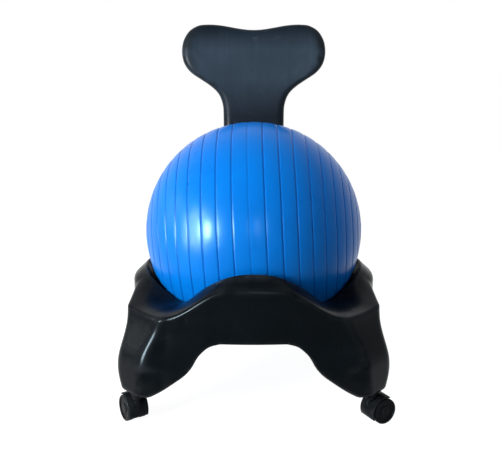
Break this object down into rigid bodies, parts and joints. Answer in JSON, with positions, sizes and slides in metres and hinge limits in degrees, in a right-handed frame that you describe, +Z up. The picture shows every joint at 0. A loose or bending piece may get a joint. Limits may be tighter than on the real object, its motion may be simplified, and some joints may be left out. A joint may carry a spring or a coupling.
{
  "type": "balance ball chair",
  "caption": "Seat ball with moulded rings resting in a dark four-legged ring base on swivelling casters, with a wide-topped backrest on a narrow neck behind it.",
  "frame": {"origin": "on the floor under the middle of the chair's outline", "axes": "+Z up, -Y towards the front of the chair, +X to the right as seen from the front, the side where the ball's valve is"},
  "size_m": [0.5582, 0.5654, 0.797],
  "materials": {
    "shell": "satin blow-moulded black",
    "ball": "glossy blue vinyl",
    "plug": "white moulded",
    "caster": "satin moulded black",
    "wheel": "moulded black nylon",
    "steel": "zinc plated",
    "bar": "black powder coat"
  },
  "bodies": {
    "base": {"base_front": "shell", "base_rear": "shell", "backrest": "shell", "back_support_bar": "bar", "back_bolt_left": "steel", "back_bolt_right": "steel", "back_washer_left": "steel", "back_washer_right": "steel", "base_bar_left": "bar", "base_bar_right": "bar", "bar_bolt_front_left": "steel", "bar_bolt_front_right": "steel", "bar_bolt_rear_left": "steel", "bar_bolt_rear_right": "steel", "caster_front_left_insert": "caster", "caster_front_left_stem": "steel", "caster_front_right_insert": "caster", "caster_front_right_stem": "steel", "caster_rear_left_insert": "caster", "caster_rear_left_stem": "steel", "caster_rear_right_insert": "caster", "caster_rear_right_stem": "steel"},
    "seat_ball": {"ball": "ball"},
    "valve": {"valve_plug": "plug"},
    "front_left_caster": {"caster_front_left_body": "caster", "caster_front_left_axle": "steel"},
    "front_left_wheel_a": {"caster_front_left_wheel_a": "wheel"},
    "front_left_wheel_b": {"caster_front_left_wheel_b": "wheel"},
    "front_right_caster": {"caster_front_right_body": "caster", "caster_front_right_axle": "steel"},
    "front_right_wheel_a": {"caster_front_right_wheel_a": "wheel"},
    "front_right_wheel_b": {"caster_front_right_wheel_b": "wheel"},
    "rear_left_caster": {"caster_rear_left_body": "caster", "caster_rear_left_axle": "steel"},
    "rear_left_wheel_a": {"caster_rear_left_wheel_a": "wheel"},
    "rear_left_wheel_b": {"caster_rear_left_wheel_b": "wheel"},
    "rear_left_brake": {"caster_rear_left_brake_lever": "caster"},
    "rear_right_caster": {"caster_rear_right_body": "caster", "caster_rear_right_axle": "steel"},
    "rear_right_wheel_a": {"caster_rear_right_wheel_a": "wheel"},
    "rear_right_wheel_b": {"caster_rear_right_wheel_b": "wheel"},
    "rear_right_brake": {"caster_rear_right_brake_lever": "caster"}
  },
  "joints": [
    {"name": "ball_lift", "type": "slide", "parent": "base", "child": "seat_ball", "axis": [0, 0, 1], "range_m": [0, 0.3]},
    {"name": "valve_plug_pull", "type": "slide", "parent": "seat_ball", "child": "valve", "axis": [0.9984, -0.0244, 0.0506], "range_m": [0, 0.03]},
    {"name": "front_left_swivel", "type": "hinge", "parent": "base", "child": "front_left_caster", "pos_m": [-0.221, -0.24055, 0.056], "axis": [0, 0, 1], "continuous": true},
    {"name": "front_left_wheel_a_spin", "type": "hinge", "parent": "front_left_caster", "child": "front_left_wheel_a", "pos_m": [-0.23324, -0.22227, 0.025], "axis": [-0.831, -0.5563, 0], "continuous": true},
    {"name": "front_left_wheel_b_spin", "type": "hinge", "parent": "front_left_caster", "child": "front_left_wheel_b", "pos_m": [-0.23324, -0.22227, 0.025], "axis": [-0.831, -0.5563, 0], "continuous": true},
    {"name": "front_right_swivel", "type": "hinge", "parent": "base", "child": "front_right_caster", "pos_m": [0.221, -0.24055, 0.056], "axis": [0, 0, 1], "continuous": true},
    {"name": "front_right_wheel_a_spin", "type": "hinge", "parent": "front_right_caster", "child": "front_right_wheel_a", "pos_m": [0.24042, -0.23022, 0.025], "axis": [-0.4695, 0.8829, 0], "continuous": true},
    {"name": "front_right_wheel_b_spin", "type": "hinge", "parent": "front_right_caster", "child": "front_right_wheel_b", "pos_m": [0.24042, -0.23022, 0.025], "axis": [-0.4695, 0.8829, 0], "continuous": true},
    {"name": "rear_left_swivel", "type": "hinge", "parent": "base", "child": "rear_left_caster", "pos_m": [-0.221, 0.20145, 0.056], "axis": [0, 0, 1], "continuous": true},
    {"name": "rear_left_wheel_a_spin", "type": "hinge", "parent": "rear_left_caster", "child": "rear_left_wheel_a", "pos_m": [-0.24198, 0.20807, 0.025], "axis": [-0.3007, -0.9537, 0], "continuous": true},
    {"name": "rear_left_wheel_b_spin", "type": "hinge", "parent": "rear_left_caster", "child": "rear_left_wheel_b", "pos_m": [-0.24198, 0.20807, 0.025], "axis": [-0.3007, -0.9537, 0], "continuous": true},
    {"name": "rear_left_brake_press", "type": "hinge", "parent": "rear_left_caster", "child": "rear_left_brake", "pos_m": [-0.25532, 0.21227, 0.0513], "axis": [-0.3007, -0.9537, 0], "range_deg": [0, 20]},
    {"name": "rear_right_swivel", "type": "hinge", "parent": "base", "child": "rear_right_caster", "pos_m": [0.221, 0.20145, 0.056], "axis": [0, 0, 1], "continuous": true},
    {"name": "rear_right_wheel_a_spin", "type": "hinge", "parent": "rear_right_caster", "child": "rear_right_wheel_a", "pos_m": [0.24198, 0.20807, 0.025], "axis": [-0.3007, 0.9537, 0], "continuous": true},
    {"name": "rear_right_wheel_b_spin", "type": "hinge", "parent": "rear_right_caster", "child": "rear_right_wheel_b", "pos_m": [0.24198, 0.20807, 0.025], "axis": [-0.3007, 0.9537, 0], "continuous": true},
    {"name": "rear_right_brake_press", "type": "hinge", "parent": "rear_right_caster", "child": "rear_right_brake", "pos_m": [0.25532, 0.21227, 0.0513], "axis": [-0.3007, 0.9537, 0], "range_deg": [0, 20]}
  ]
}
